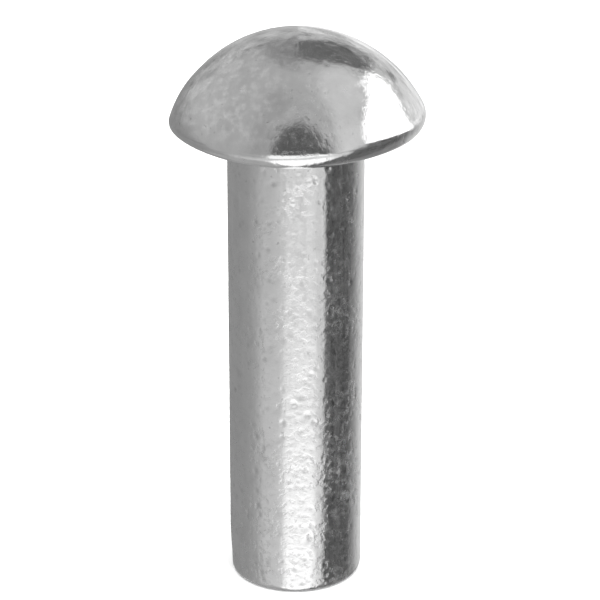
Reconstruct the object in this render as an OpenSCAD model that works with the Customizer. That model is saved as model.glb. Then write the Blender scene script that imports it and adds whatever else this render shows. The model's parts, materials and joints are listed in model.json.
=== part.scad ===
// Solid round head rivet, before it is set: a plain shank with a domed head, cold headed from one wire.
// The head's underside lies at Z = 0, the shank hangs below it and the dome stands above it.

/* [Shank] */
// Diameter of the shank
shank_d = 6.35; // [3:0.05:9]
// Length of the shank, from the head's underside to the tail
shank_length = 22.1; // [8:0.1:60]
// Radius of the rounding round the tail's end
tail_round = 0.25; // [0.05:0.05:1]

/* [Head] */
// Diameter of the head
head_d = 11.76; // [9:0.02:20]
// Height of the head above its underside
head_h = 4.72; // [3:0.02:6]
// Radius of the rounding round the head's rim
rim_round = 0.6; // [0.2:0.05:1]
// Radius of the fillet where the shank runs into the head
neck_round = 0.4; // [0.1:0.05:1]

/* [Hidden] */
$fn = 128;

shank_r = shank_d / 2;
head_r = head_d / 2;
// Centre of the rim's rounding, as radius and height
rim_centre = [head_r - rim_round, rim_round];
// The dome is one arc that runs into the rim's rounding without a crease
dome_r = (rim_centre.x ^ 2 + head_h ^ 2 - 2 * head_h * rim_round) / (2 * (head_h - 2 * rim_round));
dome_centre = [0, head_h - dome_r];
// Direction of the common normal of dome and rim, where one takes over from the other
rim_lean = (rim_centre - dome_centre) / (dome_r - rim_round);
// How far the shank's and the neck's sections reach up into the head
root = rim_round;
// How far a cutting shape runs past what it cuts
overrun = head_h;

// What a rounding takes off an outer corner. Its centre is the origin, and it runs from lean down to -Y.
module corner_waste(radius, lean) {
    reach = radius + overrun;
    difference() {
        polygon([[0, 0], reach * lean, [reach * lean.x, -reach], [0, -reach]]);
        circle(radius);
    }
}

// Half section of the head: a dome over a flat underside, with a rounded rim
module head_section() {
    difference() {
        intersection() {
            translate(dome_centre)
                circle(dome_r);
            square([dome_r + overrun, head_h + overrun]);
        }
        translate(rim_centre)
            corner_waste(rim_round, rim_lean);
    }
}

// Half section of the shank, down to its flat tail
module shank_section() {
    difference() {
        translate([0, -shank_length])
            square([shank_r, shank_length + root]);
        translate([shank_r - tail_round, tail_round - shank_length])
            corner_waste(tail_round, [1, 0]);
    }
}

// Half section of the neck, which flares from the shank into the head's underside
module neck_section() {
    neck_r = shank_r + neck_round;
    difference() {
        translate([0, -neck_round])
            square([neck_r, neck_round + root]);
        translate([neck_r, -neck_round])
            circle(neck_round);
    }
}

module rivet() {
    color("silver")
        rotate_extrude() {
            head_section();
            shank_section();
            neck_section();
        }
}

rivet();
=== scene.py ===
"""A solid round head rivet standing on its tail, in a plain pale studio."""
import json
import math
import random

import bpy
import numpy as np
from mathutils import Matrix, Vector, kdtree, noise


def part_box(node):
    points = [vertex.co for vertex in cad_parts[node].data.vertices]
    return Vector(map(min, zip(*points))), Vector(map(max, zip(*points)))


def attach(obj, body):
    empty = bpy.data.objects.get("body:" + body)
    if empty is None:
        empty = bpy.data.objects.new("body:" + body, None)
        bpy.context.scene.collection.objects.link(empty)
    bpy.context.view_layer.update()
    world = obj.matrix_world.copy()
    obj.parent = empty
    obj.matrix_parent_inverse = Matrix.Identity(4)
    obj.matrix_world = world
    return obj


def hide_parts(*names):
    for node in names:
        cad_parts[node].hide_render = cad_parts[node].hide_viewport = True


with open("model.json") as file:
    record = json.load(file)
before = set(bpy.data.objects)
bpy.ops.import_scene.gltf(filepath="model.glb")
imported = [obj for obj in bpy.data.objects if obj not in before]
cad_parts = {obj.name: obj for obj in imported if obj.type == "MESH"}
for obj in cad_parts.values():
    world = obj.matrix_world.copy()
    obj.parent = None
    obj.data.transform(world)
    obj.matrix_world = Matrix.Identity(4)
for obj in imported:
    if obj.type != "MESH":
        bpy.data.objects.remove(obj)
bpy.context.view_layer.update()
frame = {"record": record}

MM = 0.001

# Sizes of the rivet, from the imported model
low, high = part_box("rivet")
mounts = {mount["name"]: mount for mount in frame["record"]["mounts"]}
HEAD_R = high.x
HEAD_H = high.z
TAIL_Z = low.z
SHANK_R = mounts["shank"]["dims"]["r_mm"] * MM
RIM_ROUND = 0.6 * MM
NECK_ROUND = 0.4 * MM
TAIL_ROUND = 0.25 * MM

# Points of the mesh round the axis and along each stretch of the section
AROUND = 288
ALONG = {"dome": 52, "rim": 14, "seat": 6, "neck": 6, "wall": 250, "tail": 6, "end": 8}

# How the made rivet strays from its true form; angles go round from +X towards +Y
RIM_UNEVEN_SHARE, RIM_ROUNDEST = 0.4, 0.0
RIM_DROOP, RIM_LOWEST = 0.19 * MM, math.radians(268)
RIM_LIFT, RIM_HIGHEST = 0.17 * MM, math.radians(195)
RIM_LOBE_POWER = 4
# Shares of the head's height between which the droop and the lift die out
RIM_FADE_SHARES = (0.25, 0.75)
SHANK_OFFSET = -0.055 * MM
SHANK_LEAN = 0.0019
TAIL_UNEVEN_SHARE, TAIL_ROUNDEST = 0.5, 0.0
TAIL_SLANT = 0.12 * MM
# How far the slant has come on the axis, and how much further it comes over one radius to the left
SLANT_AXIS_SHARE, SLANT_RADIUS_SHARE = 0.4, 0.5
TUCK_DEPTH, TUCK_LENGTH, TUCK_POWER = 0.09 * MM, 2.4 * MM, 2

# Worked surface: width and depth of its swells, its orange peel and its crinkles
SWELL_WIDTH, SWELL_DEPTH = 3.5 * MM, 0.012 * MM
PEEL_WIDTH, PEEL_DEPTH = 0.7 * MM, 0.004 * MM
CRINKLE_WIDTH, CRINKLE_DEPTH, CRINKLE_PATCH = 0.32 * MM, 0.007 * MM, 1.6 * MM
# How fast the layers of the crinkles grow fainter, how much finer each one is, and their number
CRINKLE_FALL, CRINKLE_STEP, CRINKLE_LAYERS = 1.0, 2.0, 2
CRINKLE_EVEN_SHARE, CRINKLE_PATCHY_SHARE, CRINKLE_HEAD_SHARE = 0.6, 0.4, 0.8

# Dents: how many there are to a square millimetre, and their radius and depth in millimetres.
# They have their full depth at the tail, and a share of it under the head and on the head.
DENTS = {
    "dimples": {"per_mm2": 2.5, "radius": (0.08, 0.36), "depth": (0.001, 0.009),
                "neck_share": 0.8, "head_share": 0.8},
    "pits": {"per_mm2": 1.2, "radius": (0.06, 0.16), "depth": (0.005, 0.020),
             "neck_share": 0.5, "head_share": 0.5},
    "dings": {"per_mm2": 1.0, "radius": (0.11, 0.22), "depth": (0.004, 0.028),
              "neck_share": 1.0, "head_share": 0.2},
}
DENT_SEED = 4
# Radius of the sphere that the dome's dents lie on, as a share of the head's radius
DENT_DOME_SHARE = 1.06
# A dent this deep has the darker colour in full, and a shallower one a share of it
FULL_DARKENING_DEPTH = 0.05 * MM

# Patterns in the metal, as their width, their detail and the range of noise that they take up
PATTERNS = {
    "tone": (1.1 * MM, 4, (0.3, 0.7)),
    "specks": (0.2 * MM, 3, (0.66, 0.74)),
    "wear": (1.8 * MM, 2, (0.36, 0.6)),
    "film": (0.34 * MM, 3, (0.46, 0.66)),
    "crinkles": (0.26 * MM, 4, (0.5, 0.68)),
    "haze": (0.5 * MM, 5, (0.3, 0.7)),
}
# The darker tone goes on dirt specks and on the deeper dents
DULL_TONE, BRIGHT_TONE, DARK_MARK_TONE = 0.85, 0.92, 0.6
SPECK_SHARE = 0.7
WEAR_LEAST_SHARE, WEAR_NECK_SHARE, WEAR_HEAD_SHARE = 0.3, 0.5, 0.75
# Share of the metal that the film hides at most
FILM_SHARE = 0.09
# The film sets in towards the right, from this far left of the axis to as far right of it
FILM_EDGE = 1.2 * MM
# On the dome it also lies at the left, and thins out between these places
FILM_DOME, FILM_DOME_SHARES = (-3 * MM, 0.5 * MM), (0.8, 0.15)
HAZE_ROUGHNESS, CRINKLE_ROUGHNESS = (0.08, 0.15), 0.42
GROOVE_DEPTH = 0.012 * MM
GRAIN_WIDTH, GRAIN_DETAIL, GRAIN_DEPTH = 0.13 * MM, 3, 0.003 * MM

# The photograph's view, with angles in degrees and the sensor in millimetres
VIEW_ANGLE = 15.04
VIEW_ELEVATION = 20.5
VIEW_DISTANCE = 107.0 * MM
AIM = Vector((0.127 * MM, 0, -8.3 * MM))
SENSOR_WIDTH = 36.0
CLIP_START = 1 * MM

# The studio round the object, with lengths in metres
FLOOR_RADIUS = 0.4
WALL_ROUND = 0.2
WALL_HEIGHT = 0.5
FLOOR_TONE = 0.92
FLOOR_AROUND = 96
FLOOR_ALONG = {"flat": 4, "curve": 16, "wall": 1}
ROOM_TONE = 0.55
LAMP_SIZE = 0.6
LAMP_POWER = 4.0
LAMP_PLACE = (0.05, -0.1, 0.45)

# The tent, with a point for each degree round and up
TENT_RADIUS = 0.5
TENT_WIDE, TENT_TALL = 361, 181
TENT_TONE, TENT_DARKEST = 0.30, 0.03
# Patches of light and dark that the metal mirrors, as a tone, the width of the soft edge and the corners.
# Directions are in degrees: azimuth 0 is towards the camera and 90 to the right, elevation is up.
# A later patch lies over the earlier ones.
PATCHES = {
    "table_front": (0.66, 150, [(-34, 300), (160, 300), (160, -300), (-34, -300)]),
    "table_near": (0.74, 56, [(-54, -29), (60, -29), (60, -36), (-54, -36)]),
    "table_bright": (1.5, 24, [(-16, -28), (29, -28), (34, -50), (-22, -50)]),
    "table_white": (1.2, 8, [(-28, -36), (36, -36), (38, -120), (-28, -120)]),
    "table_right": (0.092, 7, [(53, 14), (160, 14), (160, -120), (32, -64), (50, -26)]),
    "right_wall": (0.70, 72, [(128, 300), (300, 300), (300, -300), (128, -300)]),
    "right_floor": (0.13, 14, [(48, -37), (300, -37), (300, -120), (30, -120)]),
    "right_floor_far": (0.22, 16, [(104, -35), (300, -35), (300, -120), (104, -120)]),
    "left_floor": (0.40, 16, [(-130, -40), (-36, -40), (-36, -120), (-130, -120)]),
    "behind_right": (0.5, 10, [(158, -45), (300, -45), (300, -120), (158, -120)]),
    "behind_left": (0.40, 10, [(-250, -45), (-150, -45), (-150, -120), (-250, -120)]),
    "room": (0.415, 8, [(-250, 120), (250, 120), (250, -11), (-250, -11)]),
    "front_floor": (1.1, 7, [(-26, 7), (-23, 17), (0, 11), (26, -2), (32, -11), (32, -13), (-26, -13)]),
    "left_wall": (0.29, 24, [(-250, 6), (-108, 6), (-108, -40), (-250, -40)]),
    "left_low": (0.26, 18, [(-250, 6), (-86, 6), (-86, -10), (-250, -10)]),
    "left_light": (0.465, 20, [(-150, 42), (-90, 42), (-90, 18), (-150, 18)]),
    "right_low": (0.80, 16, [(118, 14), (300, 14), (300, -9), (118, -9)]),
    "right_high": (0.55, 20, [(130, 38), (300, 38), (300, 10), (126, 10)]),
    "under_window": (0.10, 5, [(54, 14), (116, 14), (118, -11), (47, -11)]),
    "camera_high": (0.35, 16, [(-44, 16), (-26, 14), (-22, 46), (-8, 62), (-34, 78), (-50, 70)]),
    "front_right": (0.64, 16, [(32, -4), (58, -4), (64, 34), (60, 46), (36, 44)]),
    "right_upper": (0.60, 26, [(40, 44), (62, 40), (120, 44), (134, 52), (140, 66), (110, 80),
                               (40, 72)]),
    "camera_shade": (0.102, 9, [(-23, 22), (-25, 33), (-19, 42), (-5, 47), (3, 48), (16, 42), (25, 32),
                                (28, -1), (4, 13)]),
    "window": (1.6, 2, [(59, 14), (64, 34), (81, 42), (101, 44), (118, 47), (134, 38), (134, 27),
                        (124, 22), (117, 14), (120, -9), (104, -6), (84, 3), (70, 7)]),
    "dark_corner": (0.14, 6, [(136, 36), (133, 47), (138, 54), (149, 67), (250, 71), (250, 39),
                              (178, 39), (170, 36), (163, 25), (152, 23)]),
    "dark_corner_left": (0.25, 24, [(-250, 38), (-162, 36), (-152, 56), (-152, 70), (-170, 76),
                                    (-250, 73)]),
    "back_light": (0.48, 10, [(-250, 28), (-166, 26), (-168, -6), (-250, -8)]),
}
# Uneven stretches, as how much the tone varies, how wide the variation is, the soft edge and the corners
MOTTLES = {
    "all": (0.05, 2.2, 20, [(-300, 120), (300, 120), (300, -120), (-300, -120)]),
    "strips": (0.17, 2.2, 20, [(-24, -8), (112, -8), (112, -40), (-24, -40)]),
    "edge_right": (0.55, 5, 14, [(124, 32), (300, 32), (300, -10), (124, -10)]),
    "edge_left": (0.28, 4.5, 16, [(-300, 40), (-130, 40), (-130, 0), (-300, 0)]),
}


def smooth(share):
    """Even rise from 0 to 1, with level ends."""
    share = np.clip(share, 0, 1)
    return share * share * (3 - 2 * share)


def arc(centre, radius, start, end, count):
    """Points of an arc in a half section, with angles from +Z outwards."""
    angles = np.linspace(start, end, count + 1)
    return np.array(centre) + radius * np.column_stack([np.sin(angles), np.cos(angles)])


def line(start, end, count):
    """Points of a straight stretch of a half section."""
    shares = np.linspace(0, 1, count + 1)[:, None]
    return np.array(start) * (1 - shares) + np.array(end) * shares


def half_section(rim_round, tail_round):
    """The outline as radius and height, from the top of the dome to the middle of the tail.

    The dome is one arc that runs into the rim's rounding without a crease."""
    rim_x = HEAD_R - rim_round
    dome_r = (rim_x**2 + HEAD_H**2 - 2 * HEAD_H * rim_round) / (2 * (HEAD_H - 2 * rim_round))
    dome_z = HEAD_H - dome_r
    dome_end = math.atan2(rim_x, rim_round - dome_z)
    neck_r = SHANK_R + NECK_ROUND
    tail_r = SHANK_R - tail_round
    wall_end = TAIL_Z + tail_round
    stretches = [
        arc((0, dome_z), dome_r, 0, dome_end, ALONG["dome"]),
        arc((rim_x, rim_round), rim_round, dome_end, math.pi, ALONG["rim"]),
        line((rim_x, 0), (neck_r, 0), ALONG["seat"]),
        arc((neck_r, -NECK_ROUND), NECK_ROUND, 0, -math.pi / 2, ALONG["neck"]),
        line((SHANK_R, -NECK_ROUND), (SHANK_R, wall_end), ALONG["wall"]),
        arc((tail_r, wall_end), tail_round, math.pi / 2, math.pi, ALONG["tail"]),
        line((tail_r, TAIL_Z), (0, TAIL_Z), ALONG["end"]),
    ]
    return np.concatenate([stretches[0]] + [stretch[1:] for stretch in stretches[1:]])


def dents_over(chance, kind, area, heights, outline):
    """Dents of one kind over an area, each a place, a radius and a depth.

    The outline gives the area's radius and the dents' share of their depth at a height."""
    dents = []
    for _ in range(int(kind["per_mm2"] * area / MM**2)):
        turn = chance.uniform(0, 2 * math.pi)
        height = chance.uniform(*heights)
        across, share = outline(height)
        place = Vector((across * math.cos(turn), across * math.sin(turn), height))
        radius = chance.uniform(*kind["radius"]) * MM
        depth = share * chance.uniform(*kind["depth"]) * MM
        dents.append((place, radius, depth))
    return dents


def scatter(chance, kind):
    """Dents of one kind over the shank and then over the dome."""
    neck_share = kind["neck_share"]
    dome_r = HEAD_R * DENT_DOME_SHARE
    dome_z = HEAD_H - dome_r

    def shank(height):
        return SHANK_R, neck_share + (1 - neck_share) * height / TAIL_Z

    def dome(height):
        return math.sqrt(dome_r**2 - (height - dome_z) ** 2), kind["head_share"]

    shank_area = 2 * math.pi * SHANK_R * -TAIL_Z
    dome_area = 2 * math.pi * dome_r * HEAD_H
    dents = dents_over(chance, kind, shank_area, (TAIL_Z, 0), shank)
    return dents + dents_over(chance, kind, dome_area, (0, HEAD_H), dome)


class Relief:
    """How far the worked surface lies below its true form, at any place on it."""

    def __init__(self):
        chance = random.Random(DENT_SEED)
        self.dents = [dent for kind in DENTS.values() for dent in scatter(chance, kind)]
        self.tree = kdtree.KDTree(len(self.dents))
        for index, (place, _, _) in enumerate(self.dents):
            self.tree.insert(place, index)
        self.tree.balance()
        self.reach = max(radius for _, radius, _ in self.dents)

    def wave(self, place):
        swell = SWELL_DEPTH / 2 * noise.noise(place / SWELL_WIDTH)
        peel = PEEL_DEPTH / 2 * noise.noise(place / PEEL_WIDTH)
        share = CRINKLE_HEAD_SHARE + (1 - CRINKLE_HEAD_SHARE) * smooth(place.z / TAIL_Z)
        share *= CRINKLE_EVEN_SHARE + CRINKLE_PATCHY_SHARE * noise.noise(place / CRINKLE_PATCH)
        lines = noise.fractal(place / CRINKLE_WIDTH, CRINKLE_FALL, CRINKLE_STEP, CRINKLE_LAYERS)
        return swell + peel + CRINKLE_DEPTH / 2 * share * lines

    def dent(self, place):
        dents = 0.0
        for _, index, distance in self.tree.find_range(place, self.reach):
            _, radius, depth = self.dents[index]
            if distance < radius:
                dents += depth * (1 - (distance / radius) ** 2) ** 2
        return dents


def uneven(size, share, angle, most):
    """A rounding's size that goes up and down once round the axis."""
    return size * (1 + share * math.cos(angle - most))


def lobe(angle, middle):
    """A smooth rise to 1 on one side of the axis."""
    return max(0.0, math.cos(angle - middle)) ** RIM_LOBE_POWER


def strayed(place, angle):
    """A true place, moved as the rim waves, the shank leans and the tail is tucked in and slants."""
    x, y, z = place
    out = math.hypot(x, y)
    fade_start, fade_end = RIM_FADE_SHARES
    rim = smooth((out - SHANK_R) / (HEAD_R - RIM_ROUND - SHANK_R))
    rim *= smooth((fade_end - z / HEAD_H) / (fade_end - fade_start))
    z += rim * (RIM_LIFT * lobe(angle, RIM_HIGHEST) - RIM_DROOP * lobe(angle, RIM_LOWEST))
    shank = smooth((HEAD_R - out) / (HEAD_R - SHANK_R)) * smooth(1 - z / RIM_ROUND)
    shift = shank * (SHANK_OFFSET + SHANK_LEAN * z)
    end = smooth((TAIL_Z + TUCK_LENGTH - z) / TUCK_LENGTH)
    inward = TUCK_DEPTH * end * max(0.0, -math.cos(angle)) ** TUCK_POWER * out / SHANK_R
    z += TAIL_SLANT * end * smooth(SLANT_AXIS_SHARE - SLANT_RADIUS_SHARE * x / SHANK_R)
    return Vector((x + shift - inward * math.cos(angle), y - inward * math.sin(angle), z))


def column_faces(around, rows, first, top, bottom=None):
    """Faces between columns of points round the axis, closed by a point at the top, or at both ends."""
    faces = []
    for j in range(around):
        a = first + j * rows
        b = first + (j + 1) % around * rows
        faces.append((top, a, b))
        faces += [(a + i, a + i + 1, b + i + 1, b + i) for i in range(rows - 1)]
        if bottom is not None:
            faces.append((a + rows - 1, bottom, b + rows - 1))
    return faces


def rivet_mesh():
    """Vertices and faces of the rivet, and how much darker each vertex is, from the depth of its dent."""
    relief = Relief()
    vertices, dent_darkening = [], []
    for angle in np.linspace(0, 2 * math.pi, AROUND, endpoint=False):
        section = half_section(uneven(RIM_ROUND, RIM_UNEVEN_SHARE, angle, RIM_ROUNDEST),
                               uneven(TAIL_ROUND, TAIL_UNEVEN_SHARE, angle, TAIL_ROUNDEST))
        slope = np.gradient(section, axis=0)
        slope /= np.linalg.norm(slope, axis=1, keepdims=True)
        across = Vector((math.cos(angle), math.sin(angle), 0))
        for (radius, height), (out, rise) in zip(section[1:-1], slope[1:-1]):
            place = across * radius + Vector((0, 0, height))
            normal = across * -rise + Vector((0, 0, out))
            dent = relief.dent(place) if height > TAIL_Z else 0.0
            wave = relief.wave(place) if height > TAIL_Z else 0.0
            vertices.append(strayed(place - normal * (wave + dent), angle))
            # The deeper a vertex's dent, the darker its colour
            dent_darkening.append(min(1.0, dent / FULL_DARKENING_DEPTH))
    count = len(vertices)
    apex = Vector((0, 0, HEAD_H))
    vertices.append(apex - Vector((0, 0, relief.wave(apex))))
    vertices.append(strayed(Vector((0, 0, TAIL_Z)), 0.0))
    faces = column_faces(AROUND, count // AROUND, 0, count, count + 1)
    return vertices, faces, dent_darkening + [0.0, 0.0]


def new_object(name, vertices, faces, material):
    mesh = bpy.data.meshes.new(name)
    mesh.from_pydata(vertices, [], faces)
    mesh.materials.append(material)
    mesh.polygons.foreach_set("use_smooth", [True] * len(mesh.polygons))
    mesh.update()
    made = bpy.data.objects.new(name, mesh)
    bpy.context.scene.collection.objects.link(made)
    return made


def grey(tone):
    return (tone, tone, tone, 1)


class Paint:
    """A new material, with short ways to make and join its nodes."""

    def __init__(self, name, shader):
        self.material = bpy.data.materials.new(name)
        self.material.use_nodes = True
        self.nodes = self.material.node_tree.nodes
        self.nodes.clear()
        self.shader = self.nodes.new(shader)
        output = self.nodes.new("ShaderNodeOutputMaterial")
        self.feed(output.inputs["Surface"], self.shader.outputs[0])

    def feed(self, socket, value):
        """Set a socket to a plain value, or link another node's socket to it."""
        if isinstance(value, bpy.types.NodeSocket):
            self.material.node_tree.links.new(value, socket)
        else:
            socket.default_value = value

    def locate(self):
        """Bring in the coordinates of each place on the object."""
        self.place = self.nodes.new("ShaderNodeTexCoord").outputs["Object"]
        axes = self.nodes.new("ShaderNodeSeparateXYZ")
        self.feed(axes.inputs["Vector"], self.place)
        self.x, self.z = axes.outputs["X"], axes.outputs["Z"]

    def attribute(self, name):
        node = self.nodes.new("ShaderNodeAttribute")
        node.attribute_name = name
        return node.outputs

    def noise(self, width, detail):
        node = self.nodes.new("ShaderNodeTexNoise")
        node.inputs["Scale"].default_value = 1 / width
        node.inputs["Detail"].default_value = detail
        self.feed(node.inputs["Vector"], self.place)
        return node.outputs["Fac"]

    def stretch(self, value, before, after):
        """A value's range before, stretched to the range after and kept within it."""
        node = self.nodes.new("ShaderNodeMapRange")
        node.inputs["From Min"].default_value, node.inputs["From Max"].default_value = before
        node.inputs["To Min"].default_value, node.inputs["To Max"].default_value = after
        self.feed(node.inputs["Value"], value)
        return node.outputs["Result"]

    def pattern(self, name, after=(0, 1)):
        width, detail, before = PATTERNS[name]
        return self.stretch(self.noise(width, detail), before, after)

    def combine(self, operation, *values):
        node = self.nodes.new("ShaderNodeMath")
        node.operation = operation
        for socket, value in zip(node.inputs, values):
            self.feed(socket, value)
        return node.outputs["Value"]

    def mix(self, first, second, share):
        """A colour that runs from the first to the second as the share goes from 0 to 1."""
        node = self.nodes.new("ShaderNodeMix")
        node.data_type = "RGBA"
        self.feed(node.inputs["Factor"], share)
        self.feed(node.inputs["A"], first)
        self.feed(node.inputs["B"], second)
        return node.outputs["Result"]

    def bump(self, height, depth, normal=None):
        node = self.nodes.new("ShaderNodeBump")
        node.inputs["Distance"].default_value = depth
        self.feed(node.inputs["Height"], height)
        if normal:
            self.feed(node.inputs["Normal"], normal)
        return node.outputs["Normal"]


def uneven_colour(metal):
    """The metal's colour: a little uneven, darker in its deeper dents, and with dirt in specks."""
    tone = metal.mix(grey(DULL_TONE), grey(BRIGHT_TONE), metal.pattern("tone"))
    specks = metal.pattern("specks", (0, SPECK_SHARE))
    # Darker where a dent is deep, and where there are dirt specks
    dark_marks = metal.combine("MAXIMUM", metal.attribute("dent_darkening")["Fac"], specks)
    return metal.mix(tone, grey(DARK_MARK_TONE), dark_marks)


def wear(metal):
    """Share of wear: in patches, more of it towards the tail and less on the head."""
    patches = metal.pattern("wear", (WEAR_LEAST_SHARE, 1))
    shank = metal.stretch(metal.z, (TAIL_Z, 0), (1, WEAR_NECK_SHARE))
    head = metal.stretch(metal.z, (0, RIM_ROUND), (1, WEAR_HEAD_SHARE))
    return metal.combine("MULTIPLY", patches, metal.combine("MULTIPLY", shank, head))


def film(metal, worn):
    """Share of a dull film: in spots, where the right side is worn and on the left of the dome."""
    right = metal.stretch(metal.x, (-FILM_EDGE, FILM_EDGE), (0, 1))
    left = metal.stretch(metal.x, FILM_DOME, FILM_DOME_SHARES)
    dome = metal.stretch(metal.z, (RIM_ROUND, 2 * RIM_ROUND), (0, 1))
    spread = metal.combine("MAXIMUM", metal.combine("MULTIPLY", right, worn),
                           metal.combine("MULTIPLY", left, dome))
    return metal.combine("MULTIPLY", metal.pattern("film"), spread)


def metal_material():
    """Bright tumbled metal, with crinkles and fine grain over the dents that the mesh has."""
    metal = Paint("bright_metal", "ShaderNodeBsdfPrincipled")
    metal.locate()
    worn = wear(metal)
    crinkles = metal.combine("MULTIPLY", metal.pattern("crinkles"), worn)
    haze = metal.pattern("haze", HAZE_ROUGHNESS)
    grooves = metal.bump(crinkles, -GROOVE_DEPTH)
    grain = metal.noise(GRAIN_WIDTH, GRAIN_DETAIL)
    inputs = metal.shader.inputs
    metal.feed(inputs["Base Color"], uneven_colour(metal))
    metal.feed(inputs["Metallic"], metal.combine("MULTIPLY_ADD", film(metal, worn), -FILM_SHARE, 1.0))
    metal.feed(inputs["Roughness"], metal.combine("MULTIPLY_ADD", crinkles, CRINKLE_ROUGHNESS, haze))
    metal.feed(inputs["Normal"], metal.bump(grain, GRAIN_DEPTH, grooves))
    return metal.material


def build_rivet():
    vertices, faces, dent_darkening = rivet_mesh()
    rivet = new_object("rivet_dressed", vertices, faces, metal_material())
    rivet.data.attributes.new("dent_darkening", "FLOAT", "POINT").data.foreach_set("value", dent_darkening)
    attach(rivet, "root")
    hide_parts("rivet")


def cover(corners, softness, azimuth, elevation):
    """How far a patch covers each direction, from 0 to 1 across its soft edge."""
    nearest = np.full(azimuth.shape, np.inf)
    inside = np.zeros(azimuth.shape, bool)
    for (a_x, a_y), (b_x, b_y) in zip(corners, corners[1:] + corners[:1]):
        run, rise = b_x - a_x, b_y - a_y
        x, y = azimuth - a_x, elevation - a_y
        share = np.clip((x * run + y * rise) / (run * run + rise * rise), 0, 1)
        nearest = np.minimum(nearest, np.hypot(x - share * run, y - share * rise))
        if rise:
            inside ^= ((y < 0) != (y < rise)) & (x < y * run / rise)
    return smooth(0.5 + np.where(inside, nearest, -nearest) / softness)


def direction(azimuth, elevation):
    """Unit vector; azimuth 0 points to the photograph's camera and 90 to the right of the picture."""
    a, e = math.radians(azimuth), math.radians(elevation)
    return Vector((math.cos(e) * math.sin(a), -math.cos(e) * math.cos(a), math.sin(e)))


def tent_tones(azimuth, elevation, ways):
    """Tone of the tent in each direction."""
    tones = np.full(azimuth.shape, TENT_TONE)
    for tone, softness, corners in PATCHES.values():
        share = cover(corners, softness, azimuth, elevation)
        tones = tones * (1 - share) + tone * share
    for amount, width, softness, corners in MOTTLES.values():
        mottle = np.array([noise.noise(way / math.radians(width)) for way in ways])
        tones += amount * mottle.reshape(tones.shape) * cover(corners, softness, azimuth, elevation)
    return np.maximum(tones, TENT_DARKEST)


def tent_material():
    light = Paint("tent_light", "ShaderNodeEmission")
    light.feed(light.shader.inputs["Color"], light.attribute("tone")["Color"])
    return light.material


def build_tent():
    """A wide tent of light and dark patches round the object, which only the metal mirrors."""
    azimuth, elevation = np.meshgrid(np.linspace(-180, 180, TENT_WIDE), np.linspace(-90, 90, TENT_TALL))
    ways = [direction(a, e) for a, e in zip(azimuth.flat, elevation.flat)]
    faces = []
    for i in range(TENT_TALL - 1):
        for j in range(TENT_WIDE - 1):
            a = i * TENT_WIDE + j
            faces.append((a, a + 1, a + TENT_WIDE + 1, a + TENT_WIDE))
    tent = new_object("tent", [way * TENT_RADIUS for way in ways], faces, tent_material())
    colours = np.ones((len(ways), 4))
    colours[:, :3] = tent_tones(azimuth, elevation, ways).reshape(-1, 1)
    tent.data.attributes.new("tone", "FLOAT_COLOR", "POINT").data.foreach_set("color", colours.ravel())
    tent.visible_camera = False
    tent.visible_diffuse = False
    tent.visible_shadow = False


def floor_material():
    pale = Paint("pale_floor", "ShaderNodeBsdfDiffuse")
    pale.feed(pale.shader.inputs["Color"], grey(FLOOR_TONE))
    return pale.material


def build_floor():
    """A pale round floor that curves up into a wall."""
    wall_r = FLOOR_RADIUS + WALL_ROUND
    outline = np.concatenate([
        line((0, 0), (FLOOR_RADIUS, 0), FLOOR_ALONG["flat"])[1:],
        arc((FLOOR_RADIUS, WALL_ROUND), WALL_ROUND, math.pi, math.pi / 2, FLOOR_ALONG["curve"])[1:],
        line((wall_r, WALL_ROUND), (wall_r, WALL_HEIGHT), FLOOR_ALONG["wall"])[1:],
    ])
    vertices = [Vector((0, 0, TAIL_Z))]
    for j in range(FLOOR_AROUND):
        angle = 2 * math.pi * j / FLOOR_AROUND
        vertices += [Vector((r * math.cos(angle), r * math.sin(angle), TAIL_Z + z)) for r, z in outline]
    faces = column_faces(FLOOR_AROUND, len(outline), 1, 0)
    floor = new_object("floor", vertices, faces, floor_material())
    floor.visible_glossy = False


def build_light():
    """Soft light from above for the floor, and an even grey room."""
    world = bpy.data.worlds.new("room")
    world.use_nodes = True
    world.node_tree.nodes["Background"].inputs["Color"].default_value = grey(ROOM_TONE)
    bpy.context.scene.world = world
    lamp = bpy.data.lights.new("overhead", "AREA")
    lamp.shape = "DISK"
    lamp.size = LAMP_SIZE
    lamp.energy = LAMP_POWER
    overhead = bpy.data.objects.new("overhead", lamp)
    overhead.location = LAMP_PLACE
    overhead.rotation_euler = overhead.location.to_track_quat("Z", "Y").to_euler()
    overhead.visible_glossy = False
    overhead.visible_camera = False
    bpy.context.scene.collection.objects.link(overhead)


def build_camera():
    data = bpy.data.cameras.new("camera")
    data.sensor_width = SENSOR_WIDTH
    data.angle = math.radians(VIEW_ANGLE)
    data.clip_start = CLIP_START
    camera = bpy.data.objects.new("camera", data)
    back = direction(0, VIEW_ELEVATION)
    camera.location = AIM + back * VIEW_DISTANCE
    camera.rotation_euler = back.to_track_quat("Z", "Y").to_euler()
    bpy.context.scene.collection.objects.link(camera)
    bpy.context.scene.camera = camera


build_camera()
build_rivet()
build_floor()
build_light()
build_tent()
bpy.context.scene.view_settings.view_transform = "Standard"
